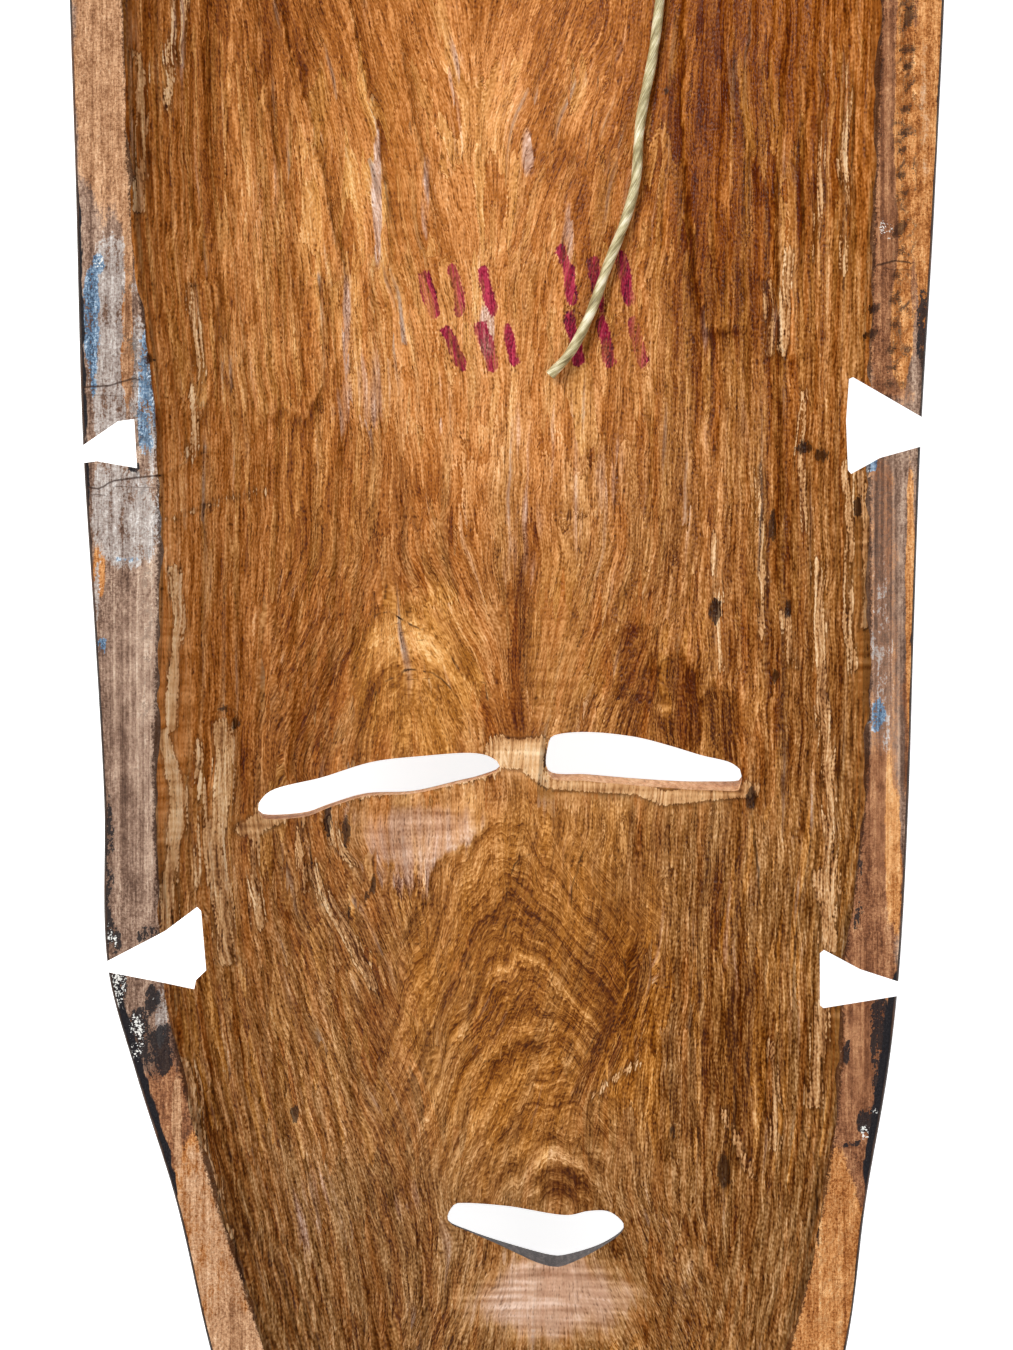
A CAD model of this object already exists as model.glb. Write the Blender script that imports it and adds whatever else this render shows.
import math

import bpy
import numpy as np
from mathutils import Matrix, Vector


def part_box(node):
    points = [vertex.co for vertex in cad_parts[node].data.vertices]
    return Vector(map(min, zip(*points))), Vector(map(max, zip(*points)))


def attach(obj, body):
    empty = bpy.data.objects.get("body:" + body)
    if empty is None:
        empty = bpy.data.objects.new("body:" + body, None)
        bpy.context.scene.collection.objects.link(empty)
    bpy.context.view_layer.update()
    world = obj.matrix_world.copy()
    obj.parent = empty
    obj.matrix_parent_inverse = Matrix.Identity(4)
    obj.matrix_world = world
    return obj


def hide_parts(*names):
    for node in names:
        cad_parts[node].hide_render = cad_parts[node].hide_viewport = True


# A long carved wooden face mask that lies face down, seen into its hollow back.
# Shapes are worked out in millimetres, in the frame's own axes, and meshes hold metres.

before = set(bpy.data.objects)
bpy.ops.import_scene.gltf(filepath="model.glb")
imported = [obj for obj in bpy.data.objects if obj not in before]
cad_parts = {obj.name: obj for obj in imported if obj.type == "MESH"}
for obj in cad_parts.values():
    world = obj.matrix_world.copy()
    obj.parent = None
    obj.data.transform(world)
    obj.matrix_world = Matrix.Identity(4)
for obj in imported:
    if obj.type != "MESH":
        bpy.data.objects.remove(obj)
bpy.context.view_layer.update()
bpy.ops.object.select_all(action="DESELECT")

MM = 0.001
SEED = 7
FINE_STRETCH = (-206, 175)  # the part of the hollow's length that gets the finest mesh

# The camera looks straight down into the hollow
EYE_POINT = (-0.3, -20.6)  # under the lens
EYE_ABOVE_RIM = 900
VIEW_HEIGHT = 371.25  # of the rim's plane that the picture takes in
SENSOR = 36

mask_low, mask_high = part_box("mask")
DEPTH = mask_high.z / MM  # from the rest surface to the flat back of the rim
CROWN_END = mask_high.y / MM
CHIN_END = mask_low.y / MM

# The carving's own sizes, as in the solid model
HOLLOW_DEPTH = 60
FACE_DEPTH = 74
SIDE_DEPTH = 20
FACE_AXIS = 5
FULLNESS = 2.2
STEEPNESS = 0.75
SIDES = 0.955  # how far out the hollow's floor turns into its edge
ROUNDNESS = 2.4
CROWN_START = 205
CHIN_START = -232
HOLLOW_CROWN_END = 264
HOLLOW_CHIN_END = -272

# Height, half widths to the left and right, and widths of the rim at the left and right
STATIONS = np.array([
    (300.0, 119, 119, 15.5, 18),
    (205, 121.3, 121.3, 15.5, 17.6),
    (110, 118.8, 117.6, 15.3, 16.6),
    (45, 117, 113.8, 20.6, 14.6),
    (-10, 113.6, 111.8, 17.6, 12.4),
    (-55, 111.1, 110.4, 14.2, 12.2),
    (-100, 110.2, 108, 15.6, 15.6),
    (-130, 102.4, 104.7, 12.8, 13.2),
    (-165, 91.4, 98.7, 11.4, 12),
    (-206, 81.9, 93.2, 15.2, 15.6),
    (-255, 68, 80, 18, 18),
    (-300, 60, 72, 18, 18),
])

# Openings through the face, at the height where they are narrowest, clockwise from the left end
SLIT_HEIGHT = 20
LEFT_EYE = [
    (-74.3, -60.5), (-71.6, -55.8), (-54.9, -51), (-40.3, -46.5), (-26, -44.8), (-9.7, -43.9),
    (-4.9, -45.1), (-2.2, -47.7), (-8.2, -50.4), (-14.4, -51.9), (-27.8, -54.9), (-42.4, -55.5),
    (-52.9, -58.5), (-60.6, -61.1),
]
RIGHT_EYE = [
    (12.1, -48.9), (12.1, -41.5), (13, -39.1), (15.4, -38.2), (24, -37.6), (38.3, -39.1), (47.8, -41.5),
    (57.7, -44.5), (67.2, -47.1), (69.9, -50.1), (57.7, -51.3), (38.3, -51), (24, -50.1),
]
MOUTH = [
    (-17.7, -183), (-17.7, -181.2), (-15.6, -178.2), (-13.2, -177.9), (-0.1, -178.8), (18, -181.5),
    (24, -180.3), (29.7, -180.3), (32.9, -182.1), (34.7, -184.8), (28.8, -189.5), (16.3, -193.4),
    (13.6, -193.4), (-0.1, -189.8), (-11.4, -186),
]

# Notches through the side walls, at the height of the rim's back
NOTCHES = [
    [(-130, 38), (-116.7, 42.6), (-107.1, 49.2), (-102.7, 49.8), (-101.9, 36.3), (-112.9, 38.2),
     (-130, 36)],
    [(130, 44), (114.3, 50.1), (95, 61.3), (93.9, 60.8), (93.1, 49.5), (93.6, 35.8), (94.5, 34.7),
     (102.4, 39.1), (113.2, 42.1), (130, 43.5)],
    [(-125, -102.4), (-110.1, -99.3), (-94.2, -91), (-85.4, -84.4), (-84.3, -85.5), (-82.9, -101.8),
     (-85.7, -104.5), (-86.2, -107), (-94.2, -105.3), (-109.9, -102.3), (-125, -103)],
    [(125, -106.8), (107.1, -104.8), (96.9, -101.5), (87, -96.2), (85.9, -97.1), (85.9, -111.4),
     (86.8, -112.2), (107.1, -108.9), (125, -107.4)],
]

# Twine holes through the crown
HOLE = {"x": 50, "diameter": 4.6, "top": (281, 95), "bottom": (252, 74.7), "overrun": 14}

TWINE_DIAMETER = 3
TWINE_ROUTE = [
    (-50, 246, 71.3), (-50, 252, 74.7), (-50, 259.2, 79.75), (-50, 270.2, 87.45), (-50, 281, 95),
    (-48.6, 286.4, 98.4), (-44, 288.6, 98.7), (-37, 288.2, 97.4), (-26, 286, 97), (-9, 283.4, 97),
    (9, 283, 97), (26, 285.2, 97), (37, 287.8, 97.4), (44, 288.6, 98.7), (48.6, 286.4, 98.4),
    (50, 281, 95), (50, 270.2, 87.45), (50, 259.2, 79.75), (50, 251.5, 74.4), (49.9, 244.5, 68.6),
    (49.5, 237, 61.2), (48.9, 228, 53.6), (47.7, 215, 48.4), (46.2, 198, 46), (44.5, 178, 45.3),
    (42.3, 160, 44.6), (38.6, 140, 43.6), (37.1, 122, 43.2), (34, 111, 42.2), (29.1, 98.5, 41),
    (24, 84.5, 39.8), (18, 73.2, 39), (12.4, 67, 38.2),
]
TWINE_STRANDS = 2
TWINE_PITCH = 27  # length in which a strand goes once round
TWINE_SIDES = 20
TWINE_RINGS = 620
KNOT_RADIUS = 3.6
KNOT_LENGTH = 6

# Rounded forms of the face: middle across and along, half width and height, rise, power
FOREHEAD = (0, 148, 98, 122, 32, 1.3)
CHEEKS = (62, -112, 38, 62, 6, 1.5)
CHIN = (2, -238, 44, 36, 8, 1.3)

# Lids round the eye slits: middle across and along, slope
LIDS = [(-43, -52, 0.17), (36, -45, -0.1)]

# How the grain leans: a place, and the fibres' sideways run for each unit upwards
GRAIN_LEAN = [
    (-90, 150, -0.03), (-70, 150, -0.1), (-60, 165, -0.32), (-42, 150, -0.3), (-31, 160, -0.3),
    (-18, 145, -0.36), (-35, 115, -0.22), (-55, 110, -0.08), (-20, 105, -0.26), (-11, 125, -0.05),
    (1, 147, 0.38), (14, 151, 0.44), (24, 135, 0.38), (8, 110, 0.3), (30, 105, 0.16), (46, 160, 0.14),
    (62, 140, 0.02), (85, 140, 0), (-10, 85, -0.12), (8, 82, 0.12), (25, 70, 0.06), (-30, 60, -0.12),
    (-60, 60, -0.06), (0, 55, 0), (55, 60, 0), (90, 60, 0.02), (-45, 30, 0), (0, 30, 0), (45, 30, 0.05),
    (-90, 30, 0.04), (-85, -20, 0), (-52, -25, 0.45), (-45, -5, 0.35), (-12, -22, -0.55), (-22, -2, -0.5),
    (-31, -36, 0), (8, -15, 0.1), (22, -20, 0.42), (33, -5, 0.25), (62, -25, -0.05), (85, -20, 0),
    (-88, -60, 0.05), (-70, -75, -0.12), (-50, -92, -0.5), (-62, -105, -0.3), (-78, -120, -0.16),
    (-42, -130, -0.5), (-32, -150, -0.52), (-58, -130, -0.34), (-55, -160, -0.3), (-75, -155, -0.14),
    (-30, -188, -0.25), (-60, -195, -0.15), (-22, -66, 0), (0, -62, 0.05), (20, -66, 0.08),
    (30, -80, 0.08), (26, -118, 0.5), (14, -95, 0.3), (45, -80, 0.03), (45, -140, 0.05), (70, -100, 0),
    (-5, -125, 0.45), (-12, -150, 0.35), (65, -150, 0), (36, -205, -0.5), (50, -200, -0.3),
    (75, -190, 0.12), (14, -200, 0), (-16, -205, 0.33),
]

# The gouge's strokes, large and small: cell width and length, half width and half length, depth, seed
STROKES = [
    (9.5, 56, 8.5, 66, 1.5, 11),
    (5.2, 34, 4.4, 38, 0.8, 23),
]

# Thin dark cracks and torn edges
CRACKS = [
    [(70, -48), (71, -66), (72, -86)], [(26, 156), (25, 138), (23, 128)], [(58, -70), (58, -100)],
    [(-117, 58.5), (-110, 59), (-103, 61)], [(102, 92), (106, 93.5), (110, 93)],
    [(-115, 31), (-112, 30.5), (-109, 32.7), (-103, 33.5), (-96, 34.3)],
    [(-57, -66), (-55, -90), (-54, -100)], [(85, -178), (86, -160), (83, -148)],
    [(-39, -28), (-38, -24), (-35, -22), (-32, -21), (-30, -19), (-27, -19), (-22, -20), (-17, -24),
     (-15, -27), (-13, -31), (-11, -34), (-11, -38)],
    [(-7, -24), (-6, -29), (-5, -36)], [(-40, -12), (-39, -3), (-34, -2), (-28, -6), (-22, -9)],
    [(34, -104), (34, -111), (27, -124), (21, -134), (17, -143)],
    [(-1, -97), (0, -82), (2, -76), (8, -72)], [(19, -92), (19, -85), (20, -80), (22, -72)],
]

# Steps in the carving: the ground on the left of each line, followed in order, stands higher
LEDGES = [
    ([(-35, 101), (-35, 118), (-37, 136), (-43, 159), (-48, 185)], 1.2, 9),
    ([(-20, 104), (-24, 127), (-31, 162)], 0.9, 7),
    ([(-47, 96), (-51, 113), (-57, 142), (-68, 178)], 1.3, 14),
    ([(-64, 117), (-68, 136), (-72, 176)], 0.9, 10), ([(-86, 51), (-83, 61), (-82, 91), (-88, 89)], 1, 6),
    ([(-67, 54), (-64, 56), (-59, 52), (-53, 64), (-54, 93)], 1.2, 8),
    ([(51, 175), (51, 132), (54, 100), (57, 78), (65, 78)], 1.2, 12),
    ([(66, 156), (67, 140), (75, 115)], 1, 9), ([(77, 119), (77, 73), (80, 70)], 1, 5),
    ([(-96, 34), (-85, 42)], 1, 12), ([(96, 175), (96, 110), (97, 84)], 0.9, 6),
    ([(83, 176), (83, 130), (84, 96)], 0.8, 5), ([(-80, 176), (-79, 140), (-76, 112)], 0.9, 7),
    ([(-31, -97), (-30, -96), (-28, -91), (-26, -88), (-22, -87), (-23, -83), (-23, -80), (-21, -75),
      (-14, -72), (-5, -64)], 1.2, 8),
    ([(-7, -42), (-7, -31), (-10, -24), (-15, -18), (-20, -11), (-25, -7)], 0.9, 5),
    ([(32, -8), (34, -6), (42, -6), (44, -11), (44, -25)], 1, 6),
    ([(44, -18), (46, -16), (51, -16), (55, -22), (56, -27), (56, -42)], 1, 6),
    ([(57, -26), (60, -24), (64, -27), (67, -27), (67, -33), (68, -42)], 0.8, 6),
    ([(-12, -124), (-11, -116), (-7, -112), (-3, -111), (0, -114), (0, -118)], 0.7, 5),
    ([(-7, -135), (2, -129), (9, -127), (14, -131), (17, -137)], 0.7, 5),
    ([(-38, -114), (-47, -96), (-57, -77)], 1.2, 7), ([(70, -48), (71, -66), (72, -86)], 0.8, 6),
    ([(-66, -206), (-73, -186), (-80, -158), (-86, -138)], 1.5, 6),
]

# Where the figure under the nose ends against the paler ground above it
SCALLOPS = [
    (-60, -100), (-44, -99), (-31, -97), (-28, -91), (-26, -88), (-22, -87), (-23, -83), (-23, -80),
    (-21, -75), (-14, -72), (-5, -64), (-3, -54),
]

# Torn strips of lighter fibres: route, width and height
STRIPS = [
    ([(-103, 152), (-101, 130), (-100, 124), (-102, 108)], 2.4, 0.5), ([(-94, 178), (-95, 138)], 1, 0.4),
    ([(-91, 178), (-92, 150)], 1, 0.4), ([(-89, 90), (-87, 68), (-88, 40)], 1.8, 0.5),
    ([(-93, 9), (-91, -5), (-93, -20), (-93, -36)], 2.8, 0.9),
    ([(-96, -37), (-92, -50), (-92, -62), (-94, -76), (-94, -92)], 3.4, 1),
    ([(-81, -34), (-80, -50), (-83, -66), (-81, -80), (-79, -102)], 5, 0.7),
    ([(-87, -40), (-86, -62), (-87, -80)], 1.2, 0.4),
    ([(94, 38), (95, 20), (95, -5), (96, -20)], 1.6, 0.7), ([(98, 36), (99, 15), (99, -8)], 1.8, 0.7),
    ([(87, 12), (88, -15), (89, -35), (90, -55), (90, -68), (91, -82)], 2.4, 0.9),
    ([(88, -76), (89, -96)], 4, 0.9), ([(79, -3), (81, -18)], 2.4, 0.6),
    ([(88, -112), (87, -126), (85, -140)], 3.4, 1), ([(80, 100), (79, 84), (79, 72)], 2.4, 0.6),
    ([(74, 92), (75, 80), (75, 70)], 1.8, 0.4), ([(89, 150), (88, 120), (87, 96)], 1, 0.5),
    ([(95, 150), (94, 118), (94, 92)], 1, 0.5), ([(-71, -58), (-72, -76), (-71, -92)], 2.4, 0.6),
    ([(-57, -76), (-47, -95), (-39, -112)], 2.6, 0.7), ([(-58, -56), (-60, -70), (-58, -84)], 1.6, 0.5),
    ([(-90, -128), (-86, -150), (-80, -172), (-74, -200)], 5, 0.6),
    ([(62, -146), (66, -156), (70, -164)], 2, 0.5), ([(75, -125), (76, -140), (76, -155)], 1.2, 0.4),
    ([(39, -133), (32, -138), (24, -144)], 0.9, 0.3), ([(60, 20), (61, 0), (62, -20)], 1.2, 0.4),
    ([(84, 60), (83, 40), (84, 20)], 1.2, 0.4), ([(72, 40), (73, 10), (72, -10)], 1.2, 0.4),
    ([(-2, -41), (5, -47), (12, -52), (27, -53), (38, -53.5), (46, -56.5), (56, -55),
      (71, -53.5)], 4.2, 0.4),
    ([(-76, -64), (-70, -62), (-60, -59), (-46, -56), (-31, -54), (-17, -52), (-2, -49)], 1.8, 0.3),
    ([(-4, -43), (4, -44), (11, -43)], 9, 0.3), ([(-76, -65), (-70, -62.5), (-64, -60)], 5, 0.3),
    ([(-80, 29.5), (-69, 31.5)], 0.5, 0.1), ([(-94, 22), (-80, 29.5)], 0.4, 0.1),
    ([(-52, -62), (-50, -70), (-44, -76)], 2, 0.5),
]

# Small dark nicks and charred spots: place, half width and half height
NICKS = [
    (76, 22, 0.9, 4.5), (60, -2, 1.7, 3.2), (80, -2, 0.9, 2.8), (76, -21, 1, 2), (93, 79, 3.5, 0.9),
    (101, 80, 1.5, 1.2), (100, 73, 1.6, 1.2), (84, 44, 2.2, 1.6), (88, 41, 1.6, 2), (-39, -82, 0.7, 3),
    (-41, -85, 0.6, 1.8), (-46, -90, 0.6, 2.4), (-52, -62, 1, 5), (-47, -66, 1, 4.5),
    (-80, -31, 3.6, 0.9), (-77, -34, 1.2, 1.6), (48, -153, 0.8, 2), (46, 150, 0.7, 1.4),
    (11, -45, 0.6, 3.4), (62, -163, 1.6, 5), (-61, -146, 1.2, 2), (-99, 66, 1.4, 1), (88, -22, 2.4, 0.7),
    (97, 26, 0.8, 3), (92, -66, 2, 0.8), (70, -56, 1.6, 3),
]

# Rows of short pen strokes on the bare wood: their ends, all of one width
PEN_WIDTH = 3.6
PEN_STROKES = [
    [(-25, 97), (-21, 85)], [(-16, 99), (-13, 86)], [(-7, 98), (-4, 86)], [(-18, 81), (-13, 70)],
    [(-8, 82), (-4, 70)], [(0, 81), (2, 71)], [(16, 104), (19, 89)], [(25, 101), (27, 88)],
    [(33, 102), (36, 88)], [(18, 84), (21, 71)], [(27, 83), (30, 70)], [(36, 83), (40, 70)],
]

# Soft patches: place, half width, half height and strength
PATCHES = {
    "light": [
        (-20, 130, 40, 60, 0.1), (-8, 140, 16, 40, 0.04), (-50, 115, 12, 55, 0.11),
        (-72, 120, 16, 60, 0.07), (-8, 62, 34, 34, 0.16), (-86, 60, 22, 150, 0.06),
        (62, 130, 24, 60, -0.15), (42, 110, 9, 50, 0.05), (-80, 10, 20, 50, 0.02),
        (-25, -8, 18, 15, 0.18), (-25, -36, 13, 12, 0.12), (-43, -22, 5, 16, -0.07),
        (48, -25, 28, 26, 0.03), (37, -18, 7, 13, -0.14), (50, -29, 6.5, 14, -0.24),
        (62, -35, 5.5, 11, -0.2), (46, -31, 3, 1.6, 0.4), (36, -34, 8, 8, -0.08),
        (-75, 100, 10, 60, 0.04), (-95, 110, 6, 60, 0.02), (4, -46, 10, 6, 0.2), (13, -15, 8, 28, 0.07),
        (4.2, 0, 3.2, 12, -0.15), (4.4, -16, 3.8, 11, -0.15), (3.2, -31, 3.2, 8, -0.15),
        (-24, -64, 26, 14, 0.16), (-95, -5, 7, 60, 0.12), (-18, -76, 12, 10, 0.1), (-5, -20, 5, 24, 0.12),
        (0, -100, 34, 34, -0.06), (55, -105, 28, 50, -0.05), (15.6, -168.7, 9, 5.5, -0.24),
        (13, -160.5, 16, 4, 0.14), (14, -155, 18, 3, -0.06), (13, -203, 27, 14, 0.27),
        (-60, -150, 24, 46, 0.04), (-84, -178, 10, 46, 0.05), (50, -150, 40, 70, -0.04),
        (40, -58, 30, 5, 0.06), (-52, 60, 10, 30, 0.04), (-100, 150, 3, 60, -0.1),
        (64, -140, 10, 20, -0.08), (60, -190, 20, 14, 0.05), (-60, 92, 12, 12, -0.07),
        (20, 20, 14, 20, 0.04), (30, -118, 7, 16, -0.07), (-3, -80, 3, 12, 0.08),
        (-84, 130, 4, 60, -0.08), (78, 20, 5, 60, -0.06), (88, 130, 5, 50, -0.08),
        (-72, -60, 8, 20, -0.05), (70, -30, 5, 24, 0.08), (-15, 20, 18, 12, 0.05), (20, 150, 8, 20, 0.08),
        (-70, 150, 6, 26, -0.06),
    ],
    "gold": [
        (4, -112, 40, 60, 0.8), (-26, -22, 22, 28, 1.3), (48, -25, 26, 28, 0.7), (-51, 118, 9, 36, 0.3),
        (14, -14, 12, 34, 0.5), (60, -130, 34, 50, 0.25), (85, -30, 20, 50, 0.3), (-40, 150, 16, 50, 0.3),
        (-60, 20, 20, 40, 0.3),
    ],
    "mauve": [
        (0, 20, 30, 20, 0.12), (-38, 120, 1.3, 22, 1), (-24, 118, 1.4, 14, 0.6), (-47, 80, 1.2, 14, 0.8),
        (-20, 60, 1.4, 12, 0.5), (-6, 80, 2.6, 8, 1), (6, 133, 2.4, 8, 0.7), (18, 110, 1.8, 12, 0.6),
        (-24, -70, 20, 17, 0.6), (12, -203, 26, 14, 0.65), (-29, -172, 5, 8, 0.4),
        (-56, -172, 6, 12, 0.35), (10, 50, 8, 18, 0.3), (-48, 56, 3, 10, 0.5), (57, 82, 2, 8, 0.4),
        (6, 20, 5, 16, 0.4), (-92, 160, 2, 16, 0.5), (-40, 62, 4, 14, 0.4), (30, 40, 4, 14, 0.35),
        (75, 78, 3, 8, 0.4), (-48, -60, 6, 6, 0.3), (64, -110, 4, 20, 0.35), (-15, 150, 3, 20, 0.35),
    ],
    "calm": [
        (40, -54, 36, 4, 1.2), (4, -44, 10, 7, 1.2), (-70, -63, 8, 3, 1), (13, -203, 27, 14, 1),
        (-24, -66, 22, 13, 0.7), (-18, -20, 9, 16, 0.3), (14, -14, 10, 30, 0.4), (-30, 130, 8, 40, 0.3),
        (60, -60, 20, 6, 0.2), (103, -15, 7, 62, 1.2), (104, 130, 4, 50, 0.8), (-100, -40, 12, 50, 0.8),
        (97, -120, 8, 26, 1),
    ],
    "warm": [
        (0, 286, 130, 42, 0.75), (0, -292, 100, 44, 1), (103, -10, 6, 70, 0.45), (104, 130, 14, 76, 1),
        (94, -165, 24, 70, 1.4), (100, -80, 10, 34, 0.8), (-90, -170, 20, 60, 0.7),
        (112, -30, 3, 60, 0.8),
    ],
    "rough": [
        (109.7, 137, 4.2, 60, 1), (108.6, 76, 3.4, 20, 1), (-104.7, 72, 2.4, 26, 1),
        (90, -182, 10, 34, 0.3), (-101, 50, 3, 24, 0.8), (-99, -10, 2.2, 40, 0.5), (99, 10, 2, 60, 0.5),
    ],
    "striped": [
        (75, 120, 34, 90, 1), (75, 0, 30, 70, 1), (60, -130, 26, 40, 0.6), (-85, 130, 18, 60, 0.7),
    ],
    "figure": [(4, -104, 40, 46, 1.2), (-4, -140, 36, 40, 1), (14, -160, 24, 16, 1)],
    "ember": [
        (-82, -185, 14, 54, 0.9), (-104.7, 72, 1.9, 24, 1), (-112.2, 8, 2.4, 11, 0.7),
        (-98.5, 30, 1.4, 30, 0.4), (109.7, 137, 3.4, 50, 1), (116, 120, 4.5, 70, 1),
        (108.6, 76, 3, 17, 1), (110.8, -3, 1.5, 42, 0.8), (88, -185, 12, 34, 0.9), (80, -240, 20, 40, 1),
        (107, -75, 1.6, 24, 0.7), (105, -66, 1.5, 26, 0.6),
    ],
    "peach": [
        (-30, 292, 50, 14, 0.5), (-20, -290, 40, 14, 0.55), (-112, 160, 9, 56, 1),
        (114.8, 137, 2, 32, 0.4), (-91, -142, 1.4, 14, 1), (-82, -185, 16, 54, 0.55),
        (-70, -240, 22, 40, 1), (-103, 120, 4, 30, 0.8), (-104.5, 72, 2, 26, 0.9),
    ],
    "grey": [
        (-108, 70, 9, 34, 0.9), (-105, 22, 11, 15, 1), (-98, 50, 2.4, 16, 1), (103, -12, 4, 36, 0.4),
        (-95.5, -114, 1.8, 9, 1), (-113, 2, 1.6, 10, 0.6),
    ],
    "blue": [
        (-114.4, 77, 2.4, 17, 1), (-112.6, 92.5, 2, 2, 0.9), (-100.2, 55, 1.8, 22, 0.7),
        (-97.8, 50, 1.6, 13, 0.6), (-104, 10.4, 8, 1, 0.7), (-113.9, 59, 1.2, 4, 0.9),
        (101.7, -32, 2.4, 5, 0.9), (99, 38.5, 3.5, 2.8, 0.8), (-111.5, -12.3, 1.4, 2.6, 0.8),
    ],
    "glitter": [
        (-107, -107, 3.6, 9, 1), (-102.5, -120, 4, 9, 1), (-110, -93, 3.4, 6, 1),
        (104.3, 102.5, 2.6, 4.6, 1), (98.4, -146.6, 2.2, 2.6, 1), (100.8, -140.7, 1.4, 1.6, 1),
        (-112.6, 93, 2.2, 2.6, 1), (-97.5, -112, 1.6, 10, 0.6), (102.5, -128, 1.4, 12, 0.5),
        (-100, 48, 2, 20, 0.4), (104.7, -147, 1, 1, 0.5), (-111.5, 3, 2.2, 5, 0.8),
    ],
    "soot": [
        (-97.4, -109.7, 2.6, 4.4, 1), (-94.5, -123, 4.6, 7, 1), (114.2, 74, 2, 14, 1),
        (-107, -107, 3.4, 8, 0.9), (-102, -119, 4.4, 9, 0.9), (-97, -127, 4, 6, 0.7),
        (-109, -93, 3.4, 6, 0.7), (102.5, -125, 3.4, 20, 0.8), (98.5, -143, 3, 5, 0.9),
        (101.9, -113.4, 1.8, 2.8, 1), (93.2, -124.6, 1.2, 3.2, 1), (94.9, -149.5, 2.8, 1.4, 0.8),
        (-110, -72, 2.4, 26, 0.7), (-102.5, 36.5, 2, 1.2, 1), (-98, -92, 5, 4, 0.6),
        (96, -78, 3, 16, 0.45),
    ],
}


def smooth(low, high, value):
    """0 below low, 1 above high, and a soft step between."""
    s = np.clip((value - low) / (high - low), 0, 1)
    return s * s * (3 - 2 * s)


# Seeded noise on arrays


def scatter(ix, iy, seed):
    """A random number from 0 to 1 for each whole-number place."""
    mask = 0x7FFFFFFF
    h = (ix * 374761393 + iy * 668265263 + (seed + SEED) * 1274126177) & mask
    h = ((h ^ (h >> 13)) * 1103515245) & mask
    h = ((h ^ (h >> 15)) * 12345671) & mask
    return ((h >> 8) & 0xFFFF) / 65535


def noise(x, y, seed):
    """Smooth noise from -1 to 1, with features one unit apart."""
    ix, iy = np.floor(x).astype(np.int64), np.floor(y).astype(np.int64)
    sx, sy = x - ix, y - iy
    wx, wy = sx * sx * (3 - 2 * sx), sy * sy * (3 - 2 * sy)
    low = scatter(ix, iy, seed) * (1 - wx) + scatter(ix + 1, iy, seed) * wx
    high = scatter(ix, iy + 1, seed) * (1 - wx) + scatter(ix + 1, iy + 1, seed) * wx
    return 2 * (low * (1 - wy) + high * wy) - 1


def layered(x, y, seed):
    """Noise with two finer and weaker layers on it."""
    return sum(noise(x * 2**k, y * 2**k, seed + 31 * k) / 2**k for k in range(3))


# The mask's shape, as in the solid model


def along(y, column):
    """One column of the stations at heights y, through a smooth curve."""
    last = len(STATIONS) - 1
    height, value = STATIONS[:, 0], STATIONS[:, column]
    ahead, behind = np.minimum(np.arange(last + 1) + 1, last), np.maximum(np.arange(last + 1) - 1, 0)
    slope = (value[ahead] - value[behind]) / (height[ahead] - height[behind])
    i = np.clip(np.searchsorted(-height, -np.asarray(y, float), side="right") - 1, 0, last - 1)
    span = height[i + 1] - height[i]
    s = np.clip((y - height[i]) / span, 0, 1)
    ease = s * s * (3 - 2 * s)
    lead = s * (1 - s) ** 2 * slope[i] - s * s * (1 - s) * slope[i + 1]
    return value[i] * (1 - ease) + value[i + 1] * ease + span * lead


def outline(y):
    """Middle, half width and ends of the mask's outline at heights y."""
    left, right = along(y, 1), along(y, 2)
    return (right - left) / 2, (right + left) / 2, CROWN_END, CHIN_END


def hollow(y):
    """The same for the hollow inside the rim."""
    left, right = along(y, 1) - along(y, 3), along(y, 2) - along(y, 4)
    return (right - left) / 2, (right + left) / 2, HOLLOW_CROWN_END, HOLLOW_CHIN_END


def closing(y, crown_end, chin_end):
    """How far heights y are into the rounded crown or chin: 0 along the sides, 1 at the end."""
    crown = (y - CROWN_START) / (crown_end - CROWN_START)
    chin = (y - CHIN_START) / (chin_end - CHIN_START)
    return np.maximum(np.maximum(crown, chin), 0)


def width_left(y, crown_end, chin_end):
    return (1 - np.minimum(closing(y, crown_end, chin_end), 1) ** ROUNDNESS) ** (1 / ROUNDNESS)


def reach(x, y, shape):
    """0 on the middle line, 1 on the edge of the outline or the hollow."""
    middle, half, crown_end, chin_end = shape(y)
    across = np.abs(x - middle) / half
    return (across**ROUNDNESS + closing(y, crown_end, chin_end) ** ROUNDNESS) ** (1 / ROUNDNESS)


def section(r):
    return np.maximum(1 - np.minimum(r, 1) ** FULLNESS, 0) ** STEEPNESS


def hollow_height(x, y):
    return DEPTH - HOLLOW_DEPTH * section(reach(x, y, hollow))


def dome(q, power):
    return np.maximum(0, 1 - q) ** power


def ridge(distance, width):
    return np.exp(-((distance / width) ** 2))


def boss(u, y, x, middle, half_width, half_height, rise, power):
    return rise * dome(((u - x) / half_width) ** 2 + ((y - middle) / half_height) ** 2, power)


def nose_relief(u, y):
    s = (-14 - y) / 106
    half_width = 8 + 9 * np.clip(s, 0, 1)
    rise = np.where(s < 0, 6 * ridge(s, 0.25), 6 + 24 * np.clip(s, 0, 1) ** 1.2)
    under = np.where(s > 1, np.maximum(0, 1 - (s - 1) * 12), 1)
    return rise * under * dome((u / half_width) ** 2, 0.6)


def brow_relief(u, y):
    crest = -20 - 15 * (u / 75) ** 2
    return 9 * ridge(y - crest, 7) * dome((u / 98) ** 4, 1)


def eye_relief(u, y, x, middle, slope):
    q = np.hypot((u - x) / 45, (y - middle - (u - x) * slope) / 15)
    return 5.5 * ridge(q - 0.72, 0.26) - 4 * ridge(q - 1.25, 0.3)


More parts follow.
